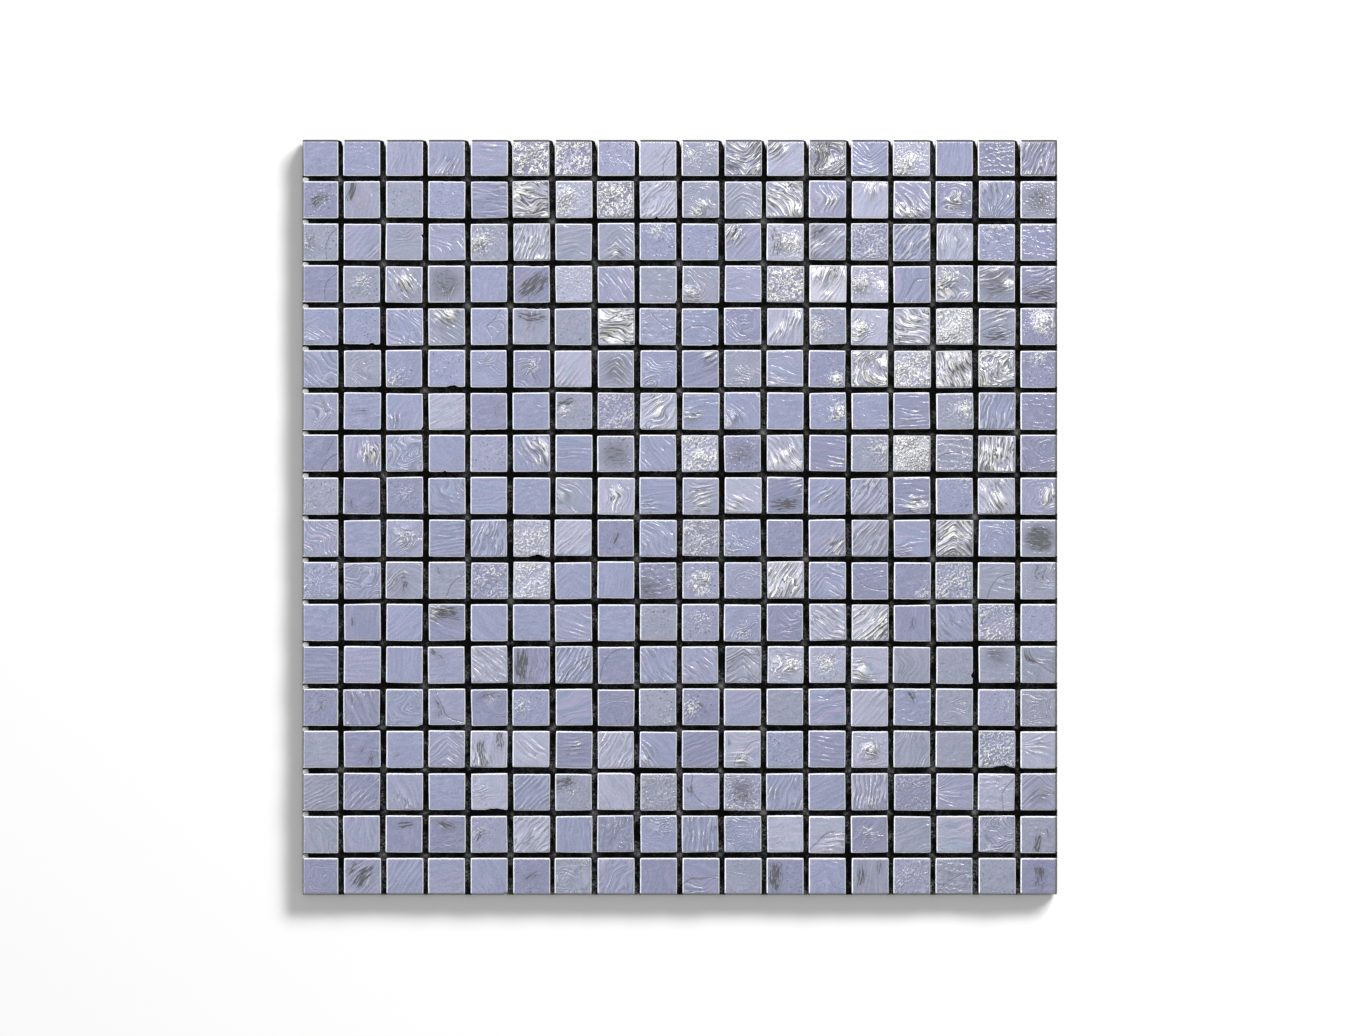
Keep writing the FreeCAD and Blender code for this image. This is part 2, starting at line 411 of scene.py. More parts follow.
# The melts: their colour on screen, and how far a streak takes it to either side
melts = {
    "b": linear(141, 147, 180),
    "l": linear(147, 150, 181),
    "v": linear(132, 135, 168),
    "g": linear(144, 148, 172),
    "w": linear(167, 170, 195),
    # snow: partly a painted highlight; the tint also turns towards it where a face flashes
    "s": linear(190, 192, 210),
}
streakBlue = np.divide(linear(145, 160, 194), linear(150, 156, 190))
streakPink = np.divide(linear(160, 156, 192), linear(150, 156, 190))


def keyPlace(key):  # a number pad's key as a place on the face, from -1 to 1 each way
    return (0.0, 0.0) if key == 0 else ((key - 1) % 3 - 1.0, (key - 1) // 3 - 1.0)


def readPlan():
    marks = [line.split() for line in layingPlan.split("\n") if line]
    plan = np.array([list(mark) for line in marks for mark in line])
    digits = plan[:, 1:4].astype(int)
    places = np.array([keyPlace(key) for key in digits[:, 2]])
    return {
        "relief": plan[:, 0],
        "run": digits[:, 0] * math.pi / 8,
        "strength": digits[:, 1].astype(float),
        "place": places,
        "allOver": digits[:, 2] == 0,
        "melt": plan[:, 4],
    }


plan = readPlan()
print("laying plan read:", len(plan["relief"]), "tiles")


def perTile(values):  # one value for each tile, shaped to spread over its face
    return np.asarray(values, float).reshape(-1, 1, 1)


def reliefValue(index):  # one of the values of each tile's relief
    return perTile([reliefMake[relief][index] for relief in plan["relief"]])


def tileNumber(row, column):  # both count from 1
    return (row - 1) * columnCount + column - 1


# The face as a grid: first along the tile's near side, then away from it
make = tileMake
count = make["samples"]
step = np.linspace(0, 1, count)
gridU, gridV = np.meshgrid(step, step, indexing="xy")
salt = perTile(rng.uniform(0, 40, tileCount))


def sideInsets():
    # how far each side has lost glass at each sample: a slow bow, grit and the listed bites, in mm
    t = np.broadcast_to(step, (tileCount * 4, 1, count))
    own = rng.uniform(0, 60, (tileCount * 4, 1, 1))
    bow = make["sideBow"] * (1 + noise(t * 2.3 + own, own, 1.0))
    rough = rng.uniform(0, 1, (tileCount * 4, 1, 1)) ** 2.5
    grit = make["sideGrit"] * (0.3 + 3 * rough) * np.abs(noise(t * 13 + own, own, 2.0))
    lost = (bow + grit).reshape(tileCount, 4, count) * np.where(outer, 0.3, 1.0)[..., None]
    lost += (outer * make["outerTrim"])[..., None]
    t = step * sideLength
    for (row, column), bite in bites.items():
        side = "nrfl".index(bite[0])
        along, width, depth = [int(mark) for mark in bite[1:]]
        away = (t - along / 9 * sideLength) / (width * 0.45)
        jag = 1 + 0.35 * noise(t * 1.3, t * 0 + row, column)
        lost[tileNumber(row, column), side] += depth * 0.28 * np.exp(-away ** 4) * jag
    return lost


outer = np.zeros((rowCount, columnCount, 4), bool)  # which sides lie at the sheet's own edge
outer[-1, :, 0] = outer[:, -1, 1] = outer[0, :, 2] = outer[:, 0, 3] = True
outer = outer.reshape(tileCount, 4)
insets = sideInsets()
flatCorners = corners.reshape(tileCount, 4, 2)
rimWide = np.where(outer, make["outerRim"], make["rimAcross"])


def ontoTile(u, v, near, right, far, left):
    # a point of the unit square, after each side is moved in by its share, between four corners
    u, v = left + (1 - left - right) * u, near + (1 - near - far) * v
    a, b = 2 * u - 1, 2 * v - 1
    soft = 2 * make["cornerSoft"] / sideLength
    a, b = a * (1 - soft * np.abs(b) ** 12), b * (1 - soft * np.abs(a) ** 12)
    u, v = (a + 1) / 2, (b + 1) / 2
    c = flatCorners.reshape((tileCount, 4, 2) + (1,) * (u.ndim - 1))
    weights = [(1 - u) * (1 - v), u * (1 - v), u * v, (1 - u) * v]
    return [sum(w * c[:, k, axis] for k, w in enumerate(weights)) for axis in (0, 1)]


def facePoints():
    # each side's loss is taken where the point stands along that side, plus the rounded rim
    near, right, far, left = [(insets[:, k] + rimWide[:, k, None]) / sideLength for k in range(4)]
    u = np.broadcast_to(gridU, (tileCount, count, count))
    v = np.broadcast_to(gridV, (tileCount, count, count))
    return ontoTile(u, v, near[:, None, :], right[:, :, None], far[:, None, :], left[:, :, None])


faceX, faceY = facePoints()
centreX, centreY = [perTile(flatCorners[:, :, axis].mean(1)) for axis in (0, 1)]
x, y = faceX - centreX, faceY - centreY
faceHalf = sideLength / 2 - make["rimAcross"]
toEdge = np.minimum(faceHalf - np.abs(x), faceHalf - np.abs(y))

# Ridges: the distance across them, for each relief
run = perTile(plan["run"] + rng.normal(0, 0.09, tileCount))
bend = reliefValue(0)
warpX = bend * noise(x / make["warpSize"] + salt, y / make["warpSize"], 3.0)
warpY = bend * noise(x / make["warpSize"], y / make["warpSize"] + salt, 4.0)
wx, wy = x + warpX, y + warpY
along = wx * np.cos(run) + wy * np.sin(run)
across = wy * np.cos(run) - wx * np.sin(run)
relief = plan["relief"].reshape(-1, 1, 1)
keyX, keyY = [perTile(plan["place"][:, k]) * make["partOut"] for k in (0, 1)]
wander = rng.uniform(0, 2 * math.pi, tileCount)  # which way off its part a swirl has its centre
eyeX, eyeY = keyX * 0.9 + perTile(3.0 * np.cos(wander)), keyY * 0.9 + perTile(3.0 * np.sin(wander))
rings = np.hypot(wx - eyeX, (wy - eyeY) * 1.25)
vee = across + 0.75 * np.sqrt(along ** 2 + 0.2)
fan = np.arctan2(across, along + 11) * 11
ridgePlace = np.select([relief == "s", relief == "v", relief == "r"], [rings, vee, fan], across)

spacing = reliefValue(1) * perTile(rng.uniform(0.85, 1.2, tileCount))
gusts = 0.55 + 0.45 * noise(x / make["gustSize"] + salt, y / make["gustSize"] - salt, 5.0)
waves = np.sin(2 * math.pi * ridgePlace / spacing + salt) * gusts
crinkle = noise(wx / 1.25 + salt, wy / 1.25, 6.0)
crinkle = crinkle + 0.6 * noise(wx / 2.3, wy / 2.3 + salt, 7.0)
crinkled = reliefValue(2)

strength = perTile(plan["strength"])
keyed = np.exp(-((x - keyX) ** 2 + (y - keyY) ** 2) / (2 * make["partSpread"] ** 2))
reach = np.where(perTile(plan["allOver"]) > 0, 1.0, 0.18 + 0.95 * keyed)
reach = reach * (0.8 + 0.35 * noise(x / 4 - salt, y / 4 + salt, 8.0))
slope = np.tan(np.radians(strength ** 1.5 / 3 * make["ridgeSlope"])) * reach
slope = slope * (0.35 + 0.65 * ease(toEdge / 0.9))
height = slope * spacing / (2 * math.pi) * ((1 - crinkled) * waves + crinkled * crinkle)

# Broad swells, a slight crown and tilt, and a face that sinks inside its rim on some tiles
swellSlope = np.tan(np.radians(make["broadSlope"] * (0.35 + (strength / 9) ** 1.5)))
swell = noise(x / make["swellSize"] + salt, y / make["swellSize"] + 3, 9.0)
height += swellSlope * 7 / (2 * math.pi) * 1.6 * swell
height -= make["crown"] * (x ** 2 + y ** 2) / faceHalf ** 2
tilt = np.tan(np.radians(rng.normal(0, make["tilt"], (2, tileCount)))).reshape(2, -1, 1, 1)
height += tilt[0] * x + tilt[1] * y
sunk = perTile(rng.uniform(0, 1, tileCount) ** 2) * make["hollow"]
height -= sunk * ease((toEdge - 0.1) / 0.7)


def lineThrough(tile, key, way, partOut, wobble):
    # how far each point of a face lies along and across a line through one of its parts
    placeX, placeY = keyPlace(key)
    angle = way * math.pi / 8
    awayX = x[tile] - placeX * partOut + wobble * warpX[tile]
    awayY = y[tile] - placeY * partOut + wobble * warpY[tile]
    lengthwise = awayX * math.cos(angle) + awayY * math.sin(angle)
    return lengthwise, awayY * math.cos(angle) - awayX * math.sin(angle)


def leanTowardsWindow():
    # near the middle of each part the face turns to the half way between lamp and camera
    total, flashing = np.zeros_like(x), np.zeros_like(x)
    lamp = np.array(studio["windowPlace"]) / mm
    eye = np.array(camera.location) / mm
    for (row, column), parts in leaningParts.items():
        tile = tileNumber(row, column)
        here = np.array([centreX[tile, 0, 0], centreY[tile, 0, 0], topLevel])
        half = sum((end - here) / np.linalg.norm(end - here) for end in (lamp, eye))
        for part in parts.split():
            key, amount = [int(mark) for mark in part]
            awayX, awayY = lineThrough(tile, key, 0, make["partOut"], 0)
            lean = -(half[0] * awayX + half[1] * awayY) / half[2] * amount / 8
            near = np.exp(-(awayX ** 2 + awayY ** 2) / (2 * make["leanSpread"] ** 2))
            total[tile] += lean * near
            # the flash also sets how much painted highlight the face's colour takes
            flashing[tile] += amount / 9 * near
    return total, flashing


lean, flashing = leanTowardsWindow()
height += lean
faceZ = np.minimum(topLevel - make["headroom"] + height, topLevel - 0.01)
print(f"relief worked out: faces from {faceZ.min():.2f} to {faceZ.max():.2f} mm")


def smokeField():
    # each mark is a soft block, longer along its run; its strokes are told by the place in the mark
    total = np.zeros_like(x)
    strokes, cloudy = np.zeros(x.shape + (3,)), np.zeros_like(x)
    for (row, column), marks in smokeMarks.items():
        tile = tileNumber(row, column)
        for mark in marks.split():
            key, way, size, amount = [int(digit) for digit in mark]
            lengthwise, sideways = lineThrough(tile, key, way, make["smokeOut"], 0.8)
            halfLong = size * make["smokeLong"]
            halfWide = halfLong if way == 8 else size * make["smokeWide"]
            block = np.exp(-np.abs(lengthwise / halfLong) ** 3 - np.abs(sideways / halfWide) ** 3)
            thickest = block * amount / 9 > total[tile]
            total[tile] = np.where(thickest, block * amount / 9, total[tile])
            own = np.stack([lengthwise / 3.4, sideways / 0.6, lengthwise * 0 + tile], axis=-1)
            strokes[tile] = np.where(thickest[..., None], own, strokes[tile])
            cloudy[tile] = np.where(thickest, way == 8, cloudy[tile])
    return total, strokes, cloudy


def foldField():
    # signed distance to a fold's line, which bows a little; tiles with none get a far one
    total = np.full_like(x, 9.0)
    for (row, column), (key, way) in folds.items():
        tile = tileNumber(row, column)
        lengthwise, sideways = lineThrough(tile, int(key), int(way), make["foldOut"], 0.6)
        total[tile] = sideways + 0.05 * lengthwise ** 2
    return total


def tintField():
    # the melt's colour, a little lighter or darker by tile, with bluish and pinkish streaks, and
    # with a painted highlight: paler patches along the ridges where the face flashes or is rough
    base = np.array([melts[melt] for melt in plan["melt"]]).reshape(-1, 1, 1, 3)
    shade = perTile(rng.normal(1, 0.02, tileCount))
    marbled = reliefValue(3)
    streak = noise(ridgePlace / 1.7 + salt, along / 9, 10.0)
    streak = streak + 0.5 * noise(x / 6, y / 6 + salt, 11.0)
    blue = np.clip(marbled * streak * 1.1, 0, 1)[..., None]
    pink = np.clip(-marbled * streak * 1.1, 0, 1)[..., None]
    tint = base * shade[..., None]
    tint = tint * (1 + (streakBlue - 1) * blue) * (1 + (streakPink - 1) * pink)
    patchy = 0.35 * noise(ridgePlace / 0.9 + salt, along / 2.2, 12.0)
    roughHighlight = 0.35 * ease((roughness - 0.55 + patchy) / 0.4)
    flashHighlight = np.maximum(ease((flashing - 0.42 + patchy) / 0.3), roughHighlight)
    return tint + (np.array(melts["s"]) * 1.1 - tint) * 0.7 * flashHighlight[..., None]


lengthScale = np.select([(relief == "c") | (relief == "h"), relief == "p"], [1.0, 0.6], 0.16)
flow = np.stack([
    ridgePlace / 1.02 + salt * 7,
    np.where(relief == "s", wx * 0.28, along * lengthScale / 1.02) + salt * 3,
    np.where(relief == "s", wy * 0.28, salt),
], axis=-1)
# how strong the relief is; it also sets the painted highlight on the crests and the painted shade in the
# grooves
roughness = strength / 9 * reach + 0.4 * flashing
smoke, strokes, cloudy = smokeField()
pitted = np.select([(relief == "c") | (relief == "h"), relief == "s"], [1.0, 0.5], 0.08)
faceFields = {
    "tint": tintField(),
    "flow": flow,
    "strokes": strokes,
    "marks": np.stack([smoke, foldField(), np.clip(roughness, 0, 1.2)], axis=-1),
    "mixes": np.stack([reliefValue(3) + 0 * x, cloudy, pitted + 0 * x], axis=-1),
    "rhythm": ridgePlace / (0.85 * spacing) + salt,
    "edge": np.clip(0.9 - toEdge / 0.9, 0, 0.9),
}


# The skin of a tile: the face grid, rings down its rounded rim, the wall and the foot
def borderPath():
    # the grid's outer points, anticlockwise from the near left corner, as row and column numbers
    last = count - 1
    up = np.arange(last)
    down = np.arange(last, 0, -1)
    rows = np.concatenate([up * 0, up, up * 0 + last, down])
    columns = np.concatenate([up, up * 0 + last, down, up * 0])
    return rows, columns


def ringPoints(ring, rows, columns, sideOf):
    # the rim is a quarter of an oval: it goes out with the sine of the angle and down with its
    # cosine; at the sheet's own edge the side slopes outwards instead, steeper where its lip is narrow
    angle = min(ring / make["rimRings"], 1) * math.pi / 2
    slopeOut, slopeDown = make["outerSlope"][ring - 1]
    lip = np.array(make["outerLip"] if ring < 3 else 1.0)
    slopeOut, slopeDown = slopeOut * lip, slopeDown / lip
    left = rimWide * (1 - np.where(outer, slopeOut, math.sin(angle)))
    down = np.where(outer, slopeDown, make["rimDown"] * (1 - math.cos(angle)))
    share = [(insets[:, k] + left[:, k, None]) / sideLength for k in range(4)]
    u = np.broadcast_to(step[columns], (tileCount, len(rows)))
    v = np.broadcast_to(step[rows], (tileCount, len(rows)))
    ringX, ringY = ontoTile(
        u, v, share[0][:, columns], share[1][:, rows], share[2][:, columns], share[3][:, rows]
    )
    ringZ = faceZ[:, rows, columns] - down[:, sideOf]
    if ring > make["rimRings"]:
        ringZ = np.full_like(ringZ, footLevel)
    return np.stack([ringX, ringY, ringZ], axis=-1)


def tileSkin():
    rows, columns = borderPath()
    around = len(rows)
    points = [np.stack([faceX, faceY, faceZ], axis=-1).reshape(tileCount, -1, 3)]
    edges = [faceFields["edge"].reshape(tileCount, -1)]
    sideOf = np.repeat(np.arange(4), count - 1)
    # how far down each ring takes the rim's painted highlight and the wall's painted shade, by side
    levels = np.array([make[name] for name in ("nearLevels", "shadedLevels", "litLevels", "litLevels")])
    for ring in range(1, make["rimRings"] + 2):
        points.append(ringPoints(ring, rows, columns, sideOf))
        outerLevels = np.array(make["outerLevels"][ring - 1])[sideOf]
        edges.append(np.where(outer[:, sideOf], outerLevels, levels[sideOf, ring - 1]))
    grid = np.arange(count * count).reshape(count, count)
    face = np.stack([grid[:-1, :-1], grid[:-1, 1:], grid[1:, 1:], grid[1:, :-1]], axis=-1).reshape(-1, 4)
    rims = [count * count + around * ring + np.arange(around) for ring in range(make["rimRings"] + 1)]
    rims.insert(0, grid[rows, columns])
    bands = [
        np.stack([low, np.roll(low, -1), np.roll(high, -1), high], axis=-1)
        for high, low in zip(rims[:-1], rims[1:])
    ]
    foot = rims[-1][::-1].reshape(1, -1)
    fields = {}
    for name in ("tint", "flow", "marks", "strokes", "mixes", "rhythm"):
        values = faceFields[name]
        border = values[:, rows, columns].reshape(tileCount, around, -1)
        flat = values.reshape(tileCount, count * count, -1)
        fields[name] = np.concatenate([flat] + [border] * (make["rimRings"] + 1), axis=1)
    fields["edge"] = np.concatenate(edges, axis=1)
    quads = np.concatenate([face] + bands)
    smooth = np.arange(len(quads)) < len(face) + 2 * around  # the lower rim and the wall are cut flat
    return np.concatenate(points, axis=1), [quads, foot], smooth, fields


def glassMaterial():
    # one glossy melt for all tiles: its colours and fine relief follow what the mesh says
    material, tree = newMaterial("pearlyGlass")
    glass = {
        # the rim's pale colour is partly a painted highlight, the wall's dark colour partly painted shade
        "rim": linear(246, 248, 254) + [1],
        "wall": linear(14, 13, 28) + [1],
        "wallDepths": (2.9 * mm, 3.9 * mm),  # dark below the first level, partly adhesive and partly painted shade, pale above the second
        "smoke": linear(62, 61, 64) + [1],
        # painted shade for the grooves and painted highlight for the crests of strong relief
        "groove": linear(68, 66, 66) + [1],
        "crestHighlight": linear(246, 246, 243) + [1],
        "rosy": linear(166, 158, 190) + [1],
        "bluish": linear(140, 158, 196) + [1],
        "index": 1.75,
        "ripple": 1.3 * mm,
        "foldDepth": 0.10 * mm,
        "specks": 900.0,  # scales of the fine patterns, per metre
        "pits": 1250.0,
        "fine": 1700.0,
        "creaseAt": 0.455,  # the height of the ridges at which they have a crease
        "polish": (0.12, 0.05),  # how much the specks roughen it, and the least of it
    }
    tint = readField(tree, "tint", "Color")
    flowing, strokeFlow = [readField(tree, name, "Vector") for name in ("flow", "strokes")]
    edge, rhythm = readField(tree, "edge"), readField(tree, "rhythm")
    smoke, fold, rough = splitAxes(tree, readField(tree, "marks", "Vector"))
    marble, cloudy, pitted = splitAxes(tree, readField(tree, "mixes", "Vector"))
    place = addNode(tree, "ShaderNodeTexCoord").outputs["Object"]

    ridges = grain(tree, flowing, 1.0, detail=scaled(tree, pitted, 0.6, 0.8), rough=0.4)
    beat = calc(tree, "SINE", times(tree, rhythm, 2 * math.pi))
    ridges = scaled(tree, beat, scaled(tree, pitted, -0.11, 0.11), ridges)
    veins = grain(tree, flowing, 0.45, rough=0.6)
    specks = grain(tree, place, glass["specks"])
    fine = grain(tree, place, glass["fine"], detail=1.0)
    pits = stepUp(tree, grain(tree, place, glass["pits"], detail=0.0), 0.72, 0.79)
    pits = times(tree, pits, pitted)
    strokeGrain = grain(tree, strokeFlow, 1.0)

    # colour: streaks, painted shade in the pits and grooves and painted highlight on the crests where the
    # relief is strong, smoke, painted shade along a fold, then the rim and the wall
    lighter = scaled(tree, veins, 0.5, 0.75)
    lighter = times(tree, lighter, scaled(tree, fine, 0.60, 0.70))
    plainGlass = addNode(tree, "ShaderNodeVectorMath", {0: tint, "Scale": lighter}, operation="SCALE")
    rosy = times(tree, stepUp(tree, veins, 0.50, 0.62), marble)
    bluish = times(tree, stepUp(tree, veins, 0.46, 0.36), marble)
    streaked = blend(tree, times(tree, rosy, 0.45), plainGlass.outputs[0], glass["rosy"])
    streaked = blend(tree, times(tree, bluish, 0.45), streaked, glass["bluish"])
    # painted shade in the pits
    streaked = blend(tree, times(tree, pits, 0.6), streaked, glass["smoke"])
    crease = calc(tree, "ABSOLUTE", calc(tree, "SUBTRACT", ridges, glass["creaseAt"]))
    low = calc(tree, "MAXIMUM", stepUp(tree, ridges, 0.34, 0.27), stepUp(tree, crease, 0.046, 0.018))
    high = times(tree, stepUp(tree, ridges, 0.488, 0.508), stepUp(tree, ridges, 0.61, 0.58))
    high = calc(tree, "MAXIMUM", high, stepUp(tree, ridges, 0.64, 0.67))
    drama = calc(tree, "POWER", rough, 2.2)
    # how much painted highlight the crests get and how much painted shade the grooves get
    bright = calc(tree, "MINIMUM", times(tree, calc(tree, "POWER", rough, 3.0), 2.4), 0.97)
    dark = calc(tree, "MINIMUM", times(tree, calc(tree, "POWER", rough, 1.2), 1.5), 0.95)
    crestHighlighted = blend(tree, times(tree, high, bright), streaked, glass["crestHighlight"])
    dark = times(tree, dark, scaled(tree, pitted, -0.4, 1.0))
    grooveShaded = blend(tree, times(tree, low, dark), crestHighlighted, glass["groove"])
    thick = scaled(tree, strokeGrain, 3.2, scaled(tree, smoke, 0.9, -2.15))
    thick = calc(tree, "MAXIMUM", stepUp(tree, thick, 0.0, 0.14, 0.18, 1.0), times(tree, cloudy, 0.6))
    smoky = calc(tree, "MINIMUM", times(tree, smoke, 1.5), 0.92)
    smoked = blend(tree, times(tree, thick, smoky), grooveShaded, glass["smoke"])
    # painted shade along the fold's line, in the smoke's colour
    line = stepUp(tree, calc(tree, "ABSOLUTE", fold), 0.42, 0.05)
    foldShaded = blend(tree, times(tree, line, 0.45), smoked, glass["smoke"])
    # the pale rim: partly the ground edge's own paleness, partly a painted highlight, kept on the left and
    # far sides
    rimmed = blend(tree, stepUp(tree, edge, 0.92, 1.3, 0.0, 0.9), foldShaded, glass["rim"])
    level = splitAxes(tree, place)[2]
    # the dark wall: partly adhesive, partly painted shade, deep in the joints, on the right and near rims
    # and round the sheet's edge
    deep = stepUp(tree, level, glass["wallDepths"][1], glass["wallDepths"][0])
    walled = blend(tree, calc(tree, "MAXIMUM", deep, stepUp(tree, edge, 2.4, 2.9)), rimmed, glass["wall"])

    # relief too fine for the mesh: ridges along the flow, and the fold's own groove
    sharp = scaled(tree, calc(tree, "MINIMUM", crease, 0.2), 0.9, ridges)
    steep = times(tree, drama, scaled(tree, pitted, -1.4, 3.0))
    ripple = times(tree, sharp, calc(tree, "ADD", steep, 0.11))
    ripple = calc(tree, "SUBTRACT", ripple, times(tree, pits, 0.08))
    inside = stepUp(tree, edge, 1.4, 0.9)
    ripples = addNode(tree, "ShaderNodeBump", {
        "Strength": 1.0, "Distance": glass["ripple"], "Height": times(tree, ripple, inside),
    })
    normal = addNode(tree, "ShaderNodeBump", {
        "Strength": 1.0, "Distance": glass["foldDepth"], "Normal": ripples.outputs["Normal"],
        "Height": times(tree, line, -1.0),
    }).outputs["Normal"]

    polish = scaled(tree, specks, *glass["polish"])
    polish = calc(tree, "ADD", polish, times(tree, smoke, 0.15))
    polish = calc(tree, "ADD", polish, stepUp(tree, edge, 1.8, 2.6, 0.0, 0.15))
    shader = addNode(tree, "ShaderNodeBsdfPrincipled", {
        "Base Color": walled, "Roughness": polish, "Normal": normal, "IOR": glass["index"],
    })
    addNode(tree, "ShaderNodeOutputMaterial", {"Surface": shader.outputs[0]})
    return material


glassSkin = glassMaterial()
skinPoints, skinFaces, skinSmooth, skinFields = tileSkin()
perSkin = skinPoints.shape[1]


def glassRow(row):
    # the skins of a row in one mesh, each tile's faces counted on from the tile before
    tiles = slice(row * columnCount, (row + 1) * columnCount)
    shift = (np.arange(columnCount) * perSkin).reshape(-1, 1, 1)
    faces = [(block[None] + shift).reshape(-1, block.shape[1]) for block in skinFaces]
    fields = {}
    for name, values in skinFields.items():
        flat = values[tiles].reshape(columnCount * perSkin, -1)
        fields[name] = flat[:, 0] if flat.shape[1] == 1 else flat
    points = skinPoints[tiles].reshape(-1, 3)
    smooth = np.append(np.tile(skinSmooth, columnCount), np.zeros(columnCount, bool))
    piece = meshPiece(f"glass_row_{row + 1:02d}", points, faces, glassSkin, fields, smooth)
    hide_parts(rowNames[row])
    return piece


glassRows = [glassRow(row) for row in range(rowCount)]
print(f"glass laid: {sum(len(p.data.vertices) for p in glassRows)} points")

# The black backing: a film with a woven net pressed into its underside, and what rose in the joints
backingMake = {
    "node": "backing_sheet",
    "filmFoot": 0.16,
    "filmSamples": 44,
    "raggedEdge": 0.35,
    "threadPitch": 5.5,
    "threadWide": 0.95,
    "threadHigh": 0.22,
    "weave": 0.07,
    "bedStep": 1.65,
    "bedRise": 0.35,
    "bedFoot": -0.7,
    "bedHalf": 1.35,  # half its width, and where its sides begin to climb
    "bedBend": 0.8,
    "bedMargin": 0.12,
    "farWedge": 5.5,  # how far the bed of a joint stops short of the far edge, on its right side
    "endRise": 3.0,  # how far it climbs at the right and near edges, where it was cut flush
    "black": (4, 4, 7),
    "dust": (132, 130, 136),
    # painted light where joints cross
    "crossingLight": (160, 160, 164),
    # painted light at the left ends of the lengthwise joints
    "pale": (244, 245, 248),
}


def gridFaces(rows, columns, flip=False):  # the quads between the points of a grid
    index = np.arange(rows * columns).reshape(rows, columns)
    quads = [index[:-1, :-1], index[:-1, 1:], index[1:, 1:], index[1:, :-1]]
    return np.stack(quads[::-1] if flip else quads, axis=-1).reshape(-1, 4)


def filmSurface(low, high):
    # two facing grids joined round their borders: the edge wanders, the top follows the glass feet
    n = backingMake["filmSamples"]
    u, v = np.meshgrid(np.linspace(0, 1, n), np.linspace(0, 1, n), indexing="xy")
    px = low[0] + (high[0] - low[0]) * u
    py = low[1] + (high[1] - low[1]) * v
    inwards = backingMake["raggedEdge"] * 0.5
    ragX = inwards * (1 + noise(py / 1.9, py * 0, 20.0 + np.sign(u - 0.5)))
    ragY = inwards * (1 + noise(px / 1.9, px * 0, 30.0 + np.sign(v - 0.5)))
    px = px - np.where((u == 0) | (u == 1), np.sign(u - 0.5) * ragX, 0)
    py = py - np.where((v == 0) | (v == 1), np.sign(v - 0.5) * ragY, 0)
    foot = backingMake["filmFoot"] + 0.03 * noise(px / 3, py / 3, 21.0)
    top = np.full_like(px, high[2])
    upper = np.stack([px, py, top], axis=-1).reshape(-1, 3)
    lower = np.stack([px, py, foot], axis=-1).reshape(-1, 3)
    index = np.arange(n * n).reshape(n, n)
    border = np.concatenate([index[0, :-1], index[:-1, -1], index[-1, :0:-1], index[:0:-1, 0]])
    after = np.roll(border, -1)
    wall = np.stack([border + n * n, after + n * n, after, border], axis=-1)
    faces = np.concatenate([gridFaces(n, n), gridFaces(n, n, flip=True) + n * n, wall])
    return np.concatenate([upper, lower]), faces


def netThreads(low, high, lengthwise):
    # flat oval threads that ride over and under each other: the height is a cosine of the way along
    pitch = backingMake["threadPitch"]
    axis = 0 if lengthwise else 1
    lines = np.arange(low[1 - axis] + 1.2, high[1 - axis] - 0.8, pitch)
    stations = np.arange(low[axis] + 0.4, high[axis] - 0.4, pitch / 2)
    line, station = np.meshgrid(np.arange(len(lines)), np.arange(len(stations)), indexing="ij")
    over = (-1.0) ** (line + (station // 2) + (0 if lengthwise else 1)) * (station % 2 == 0)
    level = backingMake["threadHigh"] / 2 + backingMake["weave"] * (1 + over) * 0.5
    drift = 0.25 * noise(stations[station] / 40, lines[line] * 0.7, 22.0 + axis)
    turn = np.arange(4) * math.pi / 2
    side = np.cos(turn) * backingMake["threadWide"] / 2
    rise = np.sin(turn) * backingMake["threadHigh"] / 2
    alongAxis = np.broadcast_to(stations[station][..., None], line.shape + (4,))
    acrossAxis = (lines[line] + drift)[..., None] + side
    z = np.maximum(level[..., None] + rise, 0.0)
    axes = [alongAxis, acrossAxis, z] if lengthwise else [acrossAxis, alongAxis, z]
    points = np.stack(axes, axis=-1)
    index = np.arange(z.size).reshape(z.shape)
    here, beyond = index[:, :-1], index[:, 1:]
    quads = np.stack([here, np.roll(here, -1, axis=2), np.roll(beyond, -1, axis=2), beyond], axis=-1)
    quads = quads.reshape(-1, 4)
    ends = np.concatenate([index[:, 0, ::-1], index[:, -1]])
    faces = np.concatenate([quads, ends])
    return points.reshape(-1, 3), faces if not lengthwise else faces[:, ::-1]


